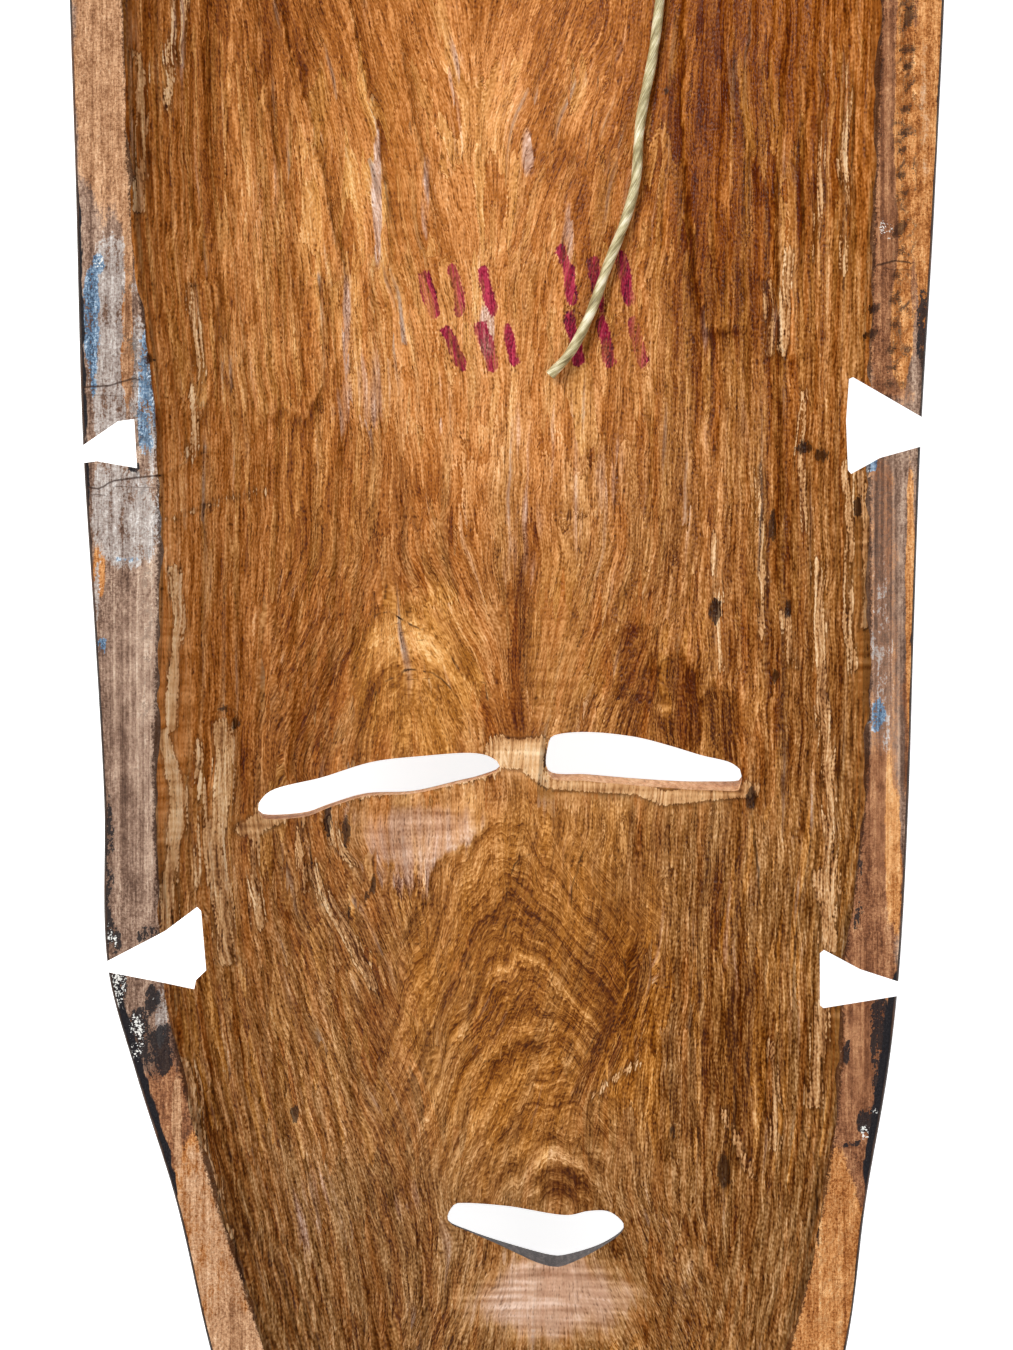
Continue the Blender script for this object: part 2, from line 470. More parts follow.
def lip_relief(u, y):
    return 9 * ridge(np.hypot((u - 3.5) / 38, (y + 186) / 18) - 0.7, 0.3)


def face_relief(u, y):
    """How far the carved face stands out beyond the plain face."""
    upper = np.maximum(boss(u, y, *FOREHEAD), nose_relief(u, y)) + brow_relief(u, y)
    lower = boss(np.abs(u), y, *CHEEKS) + boss(u, y, *CHIN)
    return upper + lower + lip_relief(u, y) + sum(eye_relief(u, y, *lid) for lid in LIDS)


def face_height(x, y):
    r = reach(x, y, outline)
    plain = DEPTH - SIDE_DEPTH - (FACE_DEPTH - SIDE_DEPTH) * section(r)
    return np.maximum(0, plain - face_relief(x - FACE_AXIS, y) * dome(np.minimum(r, 1) ** 8, 1))


# The carver's marks in the hollow


def strokes(x, y):
    """Overlapping strokes of the gouge: how deep the one that shows is, and its own shade."""
    depth, tone = np.full(x.shape, -1.0), np.zeros(x.shape)
    for wide, long, width, length, deepest, seed in STROKES:
        columns, rows = np.meshgrid(np.arange(-32, 33), np.arange(-16, 17), indexing="ij")
        luck = [scatter(columns, rows, seed + k) for k in range(6)]
        place_x, place_y = (columns + luck[0]) * wide, (rows + luck[1]) * long
        lean = grain_lean(place_x, place_y) + 0.12 * (luck[2] - 0.5)
        deep, stop = deepest * (0.35 + 0.65 * luck[3]), 0.3 + 1.1 * luck[4]
        column = np.clip(np.floor(x / wide).astype(np.int64) + 32, 1, 63)
        row = np.clip(np.floor(y / long).astype(np.int64) + 16, 2, 30)
        ragged = 0.05 * noise(x / 1.4, y / 9, seed + 7)
        for dc in (-1, 0, 1):
            for dr in (-2, -1, 0, 1, 2):
                here = (column + dc, row + dr)
                v = (y - place_y[here]) / length
                u = (x - place_x[here] - lean[here] * (y - place_y[here])) / width
                beyond_stop = smooth(0, 5 / length, -v - stop[here] - ragged)
                stroke = deep[here] * (1 - u * u - v * v) - 2 * beyond_stop
                tone = np.where(stroke > depth, luck[5][here] - 0.5, tone)
                depth = np.maximum(depth, stroke)
    return depth, tone


def beside(points, x, y):
    """Distance to a line through points, positive on its left, and 1 beside it fading to 0 past its ends."""
    nearest = np.full(x.shape, 1e6)
    side = np.ones(x.shape)
    overrun = np.full(x.shape, 1e6)
    for (ax, ay), (bx, by) in zip(points, points[1:]):
        dx, dy = bx - ax, by - ay
        length = math.hypot(dx, dy)
        t = ((x - ax) * dx + (y - ay) * dy) / length
        inner = np.clip(t, 0, length)
        distance = np.hypot(x - ax - inner * dx / length, y - ay - inner * dy / length)
        closer = distance < nearest
        nearest = np.where(closer, distance, nearest)
        side = np.where(closer, np.sign(dx * (y - ay) - dy * (x - ax)), side)
        overrun = np.where(closer, np.abs(t - inner), overrun)
    return nearest * side, smooth(4, 0, overrun)


def wander(x, y):
    """A small sideways wander that keeps hand-cut edges from running straight."""
    return 0.7 * noise(x / 5, y / 7, 51) + 0.35 * noise(x / 1.6, y / 2.4, 52)


def hand_cut(points, x, y):
    """The same as beside, for a line cut by hand."""
    return beside(points, x + wander(x, y), y)


def strips(x, y):
    """How far inside the nearest torn strip's edge, negative outside, and the strips' height."""
    inside, height = np.full(x.shape, -2.0), np.zeros(x.shape)
    for points, width, rise in STRIPS:
        offset, present = hand_cut(points, x, y)
        depth = np.where(present > 0, (width / 2 - np.abs(offset)) + 4 * (present - 1), -2.0)
        inside = np.maximum(inside, depth)
        height = np.maximum(height, rise * smooth(-0.5, 0.4, depth) * (1 + 0.5 * noise(x / 2, y / 5, 53)))
    return np.clip(inside, -2, 2), height


def ledge_height(x, y):
    height = np.zeros(x.shape)
    for points, rise, fade in LEDGES:
        offset, present = hand_cut(points, x, y)
        height += rise * smooth(-0.4, 0.4, offset) * np.exp(-np.maximum(offset, 0) / fade) * present
    return height


def ledge_shade(x, y):
    """Lighter along the upper side of each ledge, darker below it."""
    shade = np.zeros(x.shape)
    for points, rise, _ in LEDGES:
        offset, present = hand_cut(points, x, y)
        side = np.where(offset > 0, 0.6 * np.exp(-np.abs(offset) / 1.6), -np.exp(-np.abs(offset) / 2.2))
        shade += rise * present * side
    return shade


def nick_depth(x, y):
    depth = np.zeros(x.shape)
    for px, py, half_width, half_height in NICKS:
        q = np.hypot((x + 0.5 * wander(x, y) - px) / half_width, (y - py) / half_height)
        depth = np.maximum(depth, smooth(1.5, 0.5, q))
    return depth


def patch_field(kind, x, y):
    """Sum of the soft patches of a kind, with ragged edges."""
    total = np.zeros(x.shape)
    ragged = 0.16 * layered(x / 7, y / 16, 55)
    for px, py, half_width, half_height, strength in PATCHES[kind]:
        q = np.hypot((x - px) / half_width, (y - py) / half_height) + ragged
        total += strength * smooth(1.25, 0.55, q)
    return total


def grain_lean(x, y):
    total, weights = np.zeros(x.shape), np.full(x.shape, 0.02)
    for px, py, lean in GRAIN_LEAN:
        near = np.exp(-(((x - px) / 13) ** 2) - ((y - py) / 17) ** 2)
        total += lean * near
        weights += near
    return total / weights


def torn_edge(x, y):
    """Dark nicks left by the chisel along the rough outer part of the right rim, and its relief."""
    outer = outline(y)[0] + outline(y)[1] - x
    zone = smooth(5.6, 6.4, outer) * smooth(11.5, 10.5, outer + wander(x, y)) * smooth(45, 55, y)
    beat = y / 6.3 + 0.5 * noise(y / 11, x * 0, 57)
    nick = smooth(0.35, 0.05, np.abs(beat - np.floor(beat) - 0.5 + 0.04 * (outer - 8)))
    relief = zone * (-0.9 * nick - 0.8 * np.abs(layered(x / 2.4, y / 3.6, 58)))
    return zone * nick * smooth(7.0, 8.4, outer + wander(x, y)), relief


def pen_distance(x, y):
    """Distance to the edge of the nearest pen stroke, negative on it."""
    distance = np.full(x.shape, 3.0)
    for stroke in PEN_STROKES:
        offset, present = beside(stroke, x + wander(x, y), y + 0.6 * noise(x / 3, y / 3, 61))
        end = 4 * (1 - present)
        distance = np.minimum(distance, np.hypot(offset, end) - PEN_WIDTH / 2)
    return distance


def hollow_carved(x, y):
    """The hollow's real surface: the plain hollow with the carver's strokes, and the rim's wear."""
    r = reach(x, y, hollow)
    inside = 1 - smooth(SIDES, 1, r)
    cut = np.maximum(strokes(x, y)[0], -0.2)
    fibres = 0.14 * noise(x / 1.5, y / 14, 41) + 0.14 * noise(x / 3, y / 26, 42)
    waves = 0.6 * noise(x / 30, y / 60, 43)
    pen = 0.15 * smooth(0.6, -0.6, pen_distance(x, y))
    torn = strips(x, y)[1] * (1 - smooth(0.985, 1.0, r)) + ledge_height(x, y) * inside
    rim = smooth(0.99, 1.0, r)
    worn = rim * (torn_edge(x, y)[1] - 0.12 * np.abs(layered(x / 3, y / 18, 59)) - 0.05)
    nicks = -0.7 * nick_depth(x, y) * np.maximum(inside, 0.3)
    return hollow_height(x, y) + inside * (fibres + waves + 0.9 - cut - pen) + torn + worn + nicks


# Mesh building


def select_everything():
    bpy.ops.mesh.select_all(action="SELECT")


def turn_outwards():
    bpy.ops.mesh.normals_make_consistent(inside=False)


def select_only(piece):
    bpy.ops.object.select_all(action="DESELECT")
    bpy.context.view_layer.objects.active = piece
    piece.select_set(True)


def in_edit_mode(piece, *steps):
    select_only(piece)
    bpy.ops.object.mode_set(mode="EDIT")
    for step in steps:
        step()
    bpy.ops.object.mode_set(mode="OBJECT")


def sheet(name, x, y, z):
    """A grid of quads through arrays of points, rows along y."""
    rows, columns = x.shape
    bpy.ops.mesh.primitive_grid_add(x_subdivisions=columns - 1, y_subdivisions=rows - 1, size=2)
    piece = bpy.context.object
    piece.name = name
    places = np.stack([x, y, z], axis=-1).reshape(-1, 3) * MM
    piece.data.vertices.foreach_set("co", places.ravel())
    while piece.data.uv_layers:
        piece.data.uv_layers.remove(piece.data.uv_layers[0])
    return piece


def slab(piece, flat):
    """Closes a sheet with a flat side at one height."""
    def border():
        bpy.ops.mesh.select_mode(type="EDGE")
        bpy.ops.mesh.select_all(action="DESELECT")
        bpy.ops.mesh.select_non_manifold(extend=False, use_wire=False, use_multi_face=False,
                                         use_non_contiguous=False, use_verts=False)
        bpy.ops.mesh.extrude_region_move()
        bpy.ops.transform.resize(value=(1, 1, 0), center_override=(0, 0, flat * MM))
        bpy.ops.mesh.edge_face_add()

    in_edit_mode(piece, border, select_everything, turn_outwards)
    return piece


def number_points(piece, **fields):
    """Keeps a number for each vertex under each name."""
    for name, values in fields.items():
        attribute = piece.data.attributes.new(name, "FLOAT", "POINT")
        attribute.data.foreach_set("value", np.asarray(values, np.float32).ravel())


def loft(name, rings, **fields):
    """A closed solid through rings of points, each ring one array of the same length."""
    def wrapped(grid):
        return np.concatenate([grid, grid[:, :1]], axis=1)

    rings = wrapped(np.stack(rings))
    piece = sheet(name, rings[..., 0], rings[..., 1], rings[..., 2])
    number_points(piece, **{field: wrapped(values) for field, values in fields.items()})
    in_edit_mode(piece, select_everything, lambda: bpy.ops.mesh.remove_doubles(threshold=1e-6),
                 lambda: bpy.ops.mesh.fill_holes(sides=0), select_everything, turn_outwards)
    return piece


def carve(piece, tool, operation, material):
    """Cuts, joins or keeps what two solids share, and uses the tool up."""
    tool.data.materials.append(material)
    boolean = piece.modifiers.new("carve", "BOOLEAN")
    boolean.operation = operation
    boolean.solver = "MANIFOLD"
    boolean.material_mode = "TRANSFER"
    boolean.object = tool
    bpy.context.view_layer.objects.active = piece
    bpy.ops.object.modifier_apply(modifier=boolean.name)
    bpy.data.objects.remove(tool)
    return piece


def spline(points, count, closed=False):
    """Places along a smooth curve through points, as many as count."""
    points = np.asarray(points, float)
    if closed:
        points = np.concatenate([points[-1:], points, points[:2]])
    else:
        points = np.concatenate([2 * points[:1] - points[1:2], points, 2 * points[-1:] - points[-2:-1]])
    steps = np.sqrt(np.linalg.norm(np.diff(points, axis=0), axis=1))
    knots = np.concatenate([[0], np.cumsum(steps)])
    dense = []
    for k in range(1, len(points) - 2):
        t = np.linspace(knots[k], knots[k + 1], 40, endpoint=False)[:, None]
        near, spans = list(points[k - 1 : k + 3]), knots[k - 1 : k + 3]
        for gap, first in ((1, 0), (2, 0), (1, 1)):
            ends = [(spans[i], spans[i + gap]) for i in range(first, first + len(near) - 1)]
            near = [((end - t) * p + (t - start) * q) / (end - start)
                    for (start, end), p, q in zip(ends, near, near[1:])]
        dense.append(near[0])
    dense = np.concatenate(dense + [points[-2:-1]])
    length = np.concatenate([[0], np.cumsum(np.linalg.norm(np.diff(dense, axis=0), axis=1))])
    wanted = np.linspace(0, length[-1], count, endpoint=not closed)
    return np.stack([np.interp(wanted, length, dense[:, i]) for i in range(points.shape[1])], axis=1)


def sighted(points, from_height, to_height):
    """An outline carried along the lines of sight to another height."""
    eye = np.array(EYE_POINT)
    scale = (DEPTH + EYE_ABOVE_RIM - to_height) / (DEPTH + EYE_ABOVE_RIM - from_height)
    flat = eye + (points - eye) * scale
    return np.concatenate([flat, np.full((len(flat), 1), float(to_height))], axis=1)


# Heights of grid rows and places of columns


def rows_of(step, ends, turns, fine=None):
    """Rows even along the sides, closer where an end rounds off; fine is a shorter step in the middle."""
    crown_end, chin_end = ends
    bends = np.sin(np.arange(1, turns + 1) / turns * math.pi / 2) ** (2 / ROUNDNESS)
    middle = [float(CHIN_START)]
    while middle[-1] < CROWN_START - step / 2:
        close = fine and FINE_STRETCH[0] < middle[-1] < FINE_STRETCH[1]
        middle.append(middle[-1] + (fine if close else step))
    middle[-1] = float(CROWN_START)
    chin = CHIN_START + (chin_end - CHIN_START) * bends[::-1]
    crown = CROWN_START + (crown_end - CROWN_START) * bends
    return np.concatenate([chin, middle, crown])


MARGIN = 4  # how far the sheets reach past the outline before it trims them
HOLLOW_COLUMNS, RIM_COLUMNS = 235, 16
CHIN_ROWS, CROWN_ROWS = 6, 8  # of the rim, past the ends of the hollow
FACE_COLUMNS, FACE_CROWDING = 131, 0.86


def hollow_sheet():
    rows = rows_of(4.5, (HOLLOW_CROWN_END, HOLLOW_CHIN_END), 12, fine=2.3)
    rows = np.concatenate([np.linspace(CHIN_END - MARGIN, HOLLOW_CHIN_END - 1, CHIN_ROWS), rows,
                           np.linspace(HOLLOW_CROWN_END + 1, CROWN_END + MARGIN, CROWN_ROWS)])
    y = rows[:, None]
    middle, half, crown_end, chin_end = hollow(y)
    width = np.maximum(0.1, width_left(y, crown_end, chin_end))
    inner = np.linspace(-1, 1, HOLLOW_COLUMNS)[None, :]
    wobble = 0.8 * noise(y / 13, inner > 0, 44) + 0.5 * noise(y / 4.5, inner > 0, 45)
    floor = middle + inner * width * half + wobble * np.abs(inner) ** 12 * (width > 0.5)
    outer_middle, outer_half = outline(y)[:2]
    rim = np.linspace(0, 1, RIM_COLUMNS + 1)[None, 1:]
    left_end, right_end = outer_middle - outer_half - MARGIN, outer_middle + outer_half + MARGIN
    left = floor[:, :1] + (left_end - floor[:, :1]) * rim
    right = floor[:, -1:] + (right_end - floor[:, -1:]) * rim
    x = np.concatenate([left[:, ::-1], floor, right], axis=1)
    y = np.broadcast_to(y, x.shape)
    piece = sheet("mask", x, y, hollow_carved(x, y))
    face_row, face_column = np.divmod(np.arange(len(piece.data.polygons)), x.shape[1] - 1)
    past_ends = (face_row < CHIN_ROWS) | (face_row >= len(rows) - 1 - CROWN_ROWS)
    beside_hollow = (face_column < RIM_COLUMNS) | (face_column >= x.shape[1] - 1 - RIM_COLUMNS)
    rim_faces = (past_ends | beside_hollow).astype(np.int32)
    piece.data.materials.append(hollow_wood())
    piece.data.materials.append(rim_wood())
    piece.data.polygons.foreach_set("material_index", rim_faces)
    return piece


def face_sheet():
    rows = rows_of(2.8, (CROWN_END, CHIN_END), 14)
    y = np.concatenate([[CHIN_END - MARGIN], rows, [CROWN_END + MARGIN]])[:, None]
    middle, half = outline(y)[:2]
    turn = math.pi / 2 * FACE_CROWDING
    across = np.sin(np.linspace(-1, 1, FACE_COLUMNS) * turn) / math.sin(turn)
    x = middle + across[None, :] * (half + MARGIN)
    y = np.broadcast_to(y, x.shape)
    return sheet("face", x, y, face_height(x, y))


EDGE_CHAMFER = 0.9
# The rim's worn outer edge from above the mask to below it: height, and inset in chamfers
EDGE_PROFILE = [(2 * DEPTH, 1), (DEPTH, 1), (DEPTH - 0.35, 0.45), (DEPTH - 1.1, 0), (-DEPTH, 0)]


def outline_prism():
    """The outline seen from the back, with the rim's outer edge worn round."""
    side = rows_of(3, (CROWN_END, CHIN_END), 26)
    middle, half, crown_end, chin_end = outline(side)
    width = width_left(side, crown_end, chin_end) * half
    right = np.stack([middle + width, side], axis=1)
    left = np.stack([middle - width, side], axis=1)[::-1][1:-1]
    edge = np.concatenate([right, left])
    inward = np.roll(edge, -1, axis=0) - np.roll(edge, 1, axis=0)
    inward = np.stack([-inward[:, 1], inward[:, 0]], axis=1)
    inward /= np.linalg.norm(inward, axis=1)[:, None]
    rings = []
    for height, inset in EDGE_PROFILE:
        ring = edge + inward * inset * EDGE_CHAMFER
        rings.append(np.concatenate([ring, np.full((len(ring), 1), float(height))], axis=1))
    return loft("outline", rings)


# How far back a slit's lower wall leans at each height
SLIT_PROFILE = [(-DEPTH, 0), (SLIT_HEIGHT, 0), (28, 0.28), (36, 0.55), (45, 0.85), (60, 1.35)]
SLIT_POINTS = 90  # round each slit's edge


def slit(points, lean, swell=None):
    """A slit whose lower wall leans back towards the hollow, most of all beside the place called swell."""
    edge = spline(points, SLIT_POINTS, closed=True)
    first, last = points[0], max(points)
    line = first[1] + (edge[:, 0] - first[0]) / (last[0] - first[0]) * (last[1] - first[1])
    low = smooth(0.8, -0.8, edge[:, 1] - line)
    if swell is not None:
        low = low * (0.12 + 1.2 * ridge(edge[:, 0] - swell, 13))
    rings = []
    for height, back in SLIT_PROFILE:
        ring = sighted(edge, SLIT_HEIGHT, height)
        ring[:, 1] -= low * back * lean
        rings.append(ring)
    return loft("slit", rings)


def notch(points):
    edge = np.asarray(points, float)
    return loft("notch", [sighted(edge, DEPTH, height) for height in (-DEPTH, DEPTH, 2 * DEPTH)])


def twine_hole(side):
    top, bottom = (np.array([side * HOLE["x"], *HOLE[end]], float) for end in ("top", "bottom"))
    direction = (top - bottom) / np.linalg.norm(top - bottom)
    second = np.cross(direction, [1.0, 0, 0])
    turn = np.linspace(0, 2 * math.pi, 24, endpoint=False)[:, None]
    ring = HOLE["diameter"] / 2 * (np.cos(turn) * [1.0, 0, 0] + np.sin(turn) * second)
    overrun = HOLE["overrun"] * direction
    return loft("hole", [bottom - overrun + ring, top + overrun + ring])


# Materials

FIBRE_ROW = 26  # length along the grain in which the fibres keep one lean

# Colours from dark to light: a tone from 0 to 1, then red, green and blue from 0 to 255
SHADES = {
    "red": [(0.05, 78, 26, 0), (0.25, 116, 56, 2), (0.5, 167, 99, 36), (0.75, 219, 149, 86),
            (1, 254, 200, 144)],
    "umber": [(0.05, 62, 26, 2), (0.25, 98, 57, 16), (0.5, 149, 105, 57), (0.75, 201, 157, 109),
              (1, 246, 206, 162)],
    "ochre": [(0.05, 66, 26, 0), (0.25, 106, 54, 2), (0.5, 160, 100, 32), (0.75, 216, 152, 80),
              (1, 252, 206, 140)],
    "sheen": [(0.05, 70, 36, 24), (0.3, 112, 72, 54), (0.55, 172, 132, 110), (0.75, 208, 172, 152),
              (1, 250, 228, 218)],
    "raw": [(0.1, 104, 60, 26), (0.4, 178, 128, 80), (0.62, 218, 172, 122), (0.95, 250, 220, 178)],
    "ink": [(0.2, 60, 2, 30), (0.5, 132, 14, 46), (0.8, 190, 58, 84)],
    "plum": [(0.1, 66, 44, 34), (0.35, 112, 84, 68), (0.5, 148, 118, 99), (0.7, 190, 160, 138),
             (0.95, 232, 208, 186)],
    "russet": [(0.1, 70, 36, 20), (0.35, 116, 70, 42), (0.5, 150, 98, 64), (0.7, 192, 138, 96),
               (0.95, 236, 190, 148)],
    "orange": [(0.1, 90, 36, 2), (0.35, 154, 90, 36), (0.5, 194, 128, 70), (0.7, 228, 166, 106),
               (0.95, 252, 212, 158)],
    "bare": [(0.1, 92, 52, 26), (0.35, 142, 96, 62), (0.5, 175, 128, 91), (0.7, 212, 164, 124),
             (0.95, 248, 210, 172)],
    "bloom": [(0.1, 74, 58, 52), (0.35, 128, 112, 104), (0.5, 160, 146, 138), (0.7, 194, 184, 178),
              (0.95, 246, 244, 242)],
    "steel": [(0.25, 26, 46, 66), (0.5, 82, 114, 144), (0.7, 134, 162, 188), (0.95, 232, 240, 246)],
    "raw_cut_wood": [(0.15, 150, 96, 56), (0.5, 222, 174, 128), (0.85, 250, 222, 184)],
    "grey_cut_wood": [(0.15, 34, 28, 28), (0.5, 84, 74, 72), (0.85, 140, 128, 122)],
    "stain": [(0.2, 18, 11, 8), (0.5, 46, 28, 17), (0.85, 98, 62, 38)],
    "rubbed": [(0.2, 64, 30, 12), (0.5, 116, 62, 28), (0.85, 168, 104, 58)],
    "twine": [(0.1, 104, 88, 52), (0.4, 162, 150, 106), (0.65, 206, 196, 152), (0.95, 242, 236, 210)],
}


def srgb(red, green, blue):
    """A colour in everyday 0 to 255 numbers, as the shader's linear ones."""
    def linear(c):
        return c / 12.92 if c <= 0.04045 else ((c + 0.055) / 1.055) ** 2.4
    return (*(linear(c / 255) for c in (red, green, blue)), 1.0)


class Value:
    """A number in a material: arithmetic on it adds Math nodes."""

    def __init__(self, finish, socket):
        self.finish, self.socket = finish, socket

    def math(self, operation, *values):
        return self.finish.node("ShaderNodeMath", {"operation": operation}, dict(enumerate(values)))

    def __add__(self, other):
        return self.math("ADD", self, other)

    def __sub__(self, other):
        return self.math("SUBTRACT", self, other)

    def __rsub__(self, other):
        return self.math("SUBTRACT", other, self)

    def __mul__(self, other):
        return self.math("MULTIPLY", self, other)

    __radd__, __rmul__ = __add__, __mul__

    def absolute(self):
        return self.math("ABSOLUTE", self)

    def floor(self):
        return self.math("FLOOR", self)

    def fraction(self):
        return self.math("FRACT", self)

    def clamped(self):
        return self.math("MINIMUM", self.math("MAXIMUM", self, 0), 1)

    def step(self, low, high):
        """0 at low, 1 at high, and a soft step between."""
        inputs = {"Value": self, "From Min": low, "From Max": high}
        return self.finish.node("ShaderNodeMapRange", {"interpolation_type": "SMOOTHSTEP"}, inputs)


class Finish:
    """A material under construction."""

    def __init__(self, name):
        self.material = bpy.data.materials.new(name)
        self.material.use_nodes = True
        self.tree = self.material.node_tree
        self.tree.nodes.clear()
        self.shader = self.tree.nodes.new("ShaderNodeBsdfPrincipled")
        output = self.tree.nodes.new("ShaderNodeOutputMaterial")
        self.tree.links.new(self.shader.outputs[0], output.inputs[0])

    def node(self, kind, settings=None, inputs=None, output=0):
        node = self.tree.nodes.new(kind)
        for name, value in (settings or {}).items():
            if name == "stops":
                for _ in value[2:]:
                    node.color_ramp.elements.new(0.5)
                for stop, (place, colour) in zip(node.color_ramp.elements, value):
                    stop.position, stop.color = place, colour
            else:
                setattr(node, name, value)
        self.connect(node, inputs or {})
        return Value(self, node.outputs[output])

    def connect(self, node, inputs):
        for name, value in inputs.items():
            if isinstance(value, Value):
                self.tree.links.new(value.socket, node.inputs[name])
            else:
                node.inputs[name].default_value = value

    def attributes(self, names):
        kind = "ShaderNodeAttribute"
        return [self.node(kind, {"attribute_name": name}, output=2) for name in names.split()]

    def millimetres(self):
        """The place on the piece, in its own axes."""
        place = self.node("ShaderNodeTexCoord", output="Object")
        return [self.node("ShaderNodeSeparateXYZ", {}, {0: place}, output=k) * 1000 for k in range(3)]

    def vector(self, x, y, z):
        return self.node("ShaderNodeCombineXYZ", {}, {0: x, 1: y, 2: z})

    def noise(self, place, detail, roughness=0.6):
        """Noise from -0.5 to 0.5, with features one unit apart."""
        inputs = {"Vector": place, "Scale": 1, "Detail": detail, "Roughness": roughness}
        return self.node("ShaderNodeTexNoise", {}, inputs) - 0.5

    def waves(self, x, y, z, detail=1, roughness=0.6):
        """Noise at a place given by three numbers."""
        return self.noise(self.vector(x, y, z), detail, roughness)

    def scaled_noise(self, scale, detail, roughness=0.6):
        """Noise with so many features in each metre along x, y and z."""
        place = self.node("ShaderNodeTexCoord", output="Object")
        place = self.node("ShaderNodeMapping", {}, {"Vector": place, "Scale": scale})
        return self.noise(place, detail, roughness)

    def bands(self, value, scale, detail):
        """Noise from -0.5 to 0.5 that depends on one number."""
        inputs = {"W": value, "Scale": scale, "Detail": detail, "Roughness": 0.5}
        return self.node("ShaderNodeTexNoise", {"noise_dimensions": "1D"}, inputs) - 0.5

    def cells(self, x, y):
        """The distance to the nearest border between cells one unit apart."""
        inputs = {"Vector": self.vector(x, y, 0), "Scale": 1}
        return self.node("ShaderNodeTexVoronoi", {"feature": "DISTANCE_TO_EDGE"}, inputs)

    def white(self, x, y):
        """Another number from -0.5 to 0.5 for each pair of whole numbers."""
        return self.node("ShaderNodeTexWhiteNoise", {}, {"Vector": self.vector(x, y, 0)}) - 0.5

    def ramp(self, tone, shades):
        stops = [(place, srgb(*colour)) for place, *colour in SHADES[shades]]
        return self.node("ShaderNodeValToRGB", {"stops": stops}, {0: tone})

    def mix(self, factor, first, second):
        settings = {"data_type": "RGBA", "clamp_factor": True}
        return self.node("ShaderNodeMix", settings, {0: factor, 6: first, 7: second}, output=2)

    def bump(self, height, depth, strength):
        return self.node("ShaderNodeBump", {}, {"Strength": strength, "Distance": depth, "Height": height})

    def surface(self, **inputs):
        self.connect(self.shader, {name.replace("_", " "): value for name, value in inputs.items()})
        return self.material


def fibres_in(f, x, y, z, width, length, detail=0):
    """Noise whose features are a width across the grain and a length along it, in millimetres."""
    return f.waves(x * (1 / width), y * (1 / length), z * 0.4, detail)


def crack_line(crack, cracked):
    return crack.absolute().step(0.42, 0.1) * cracked


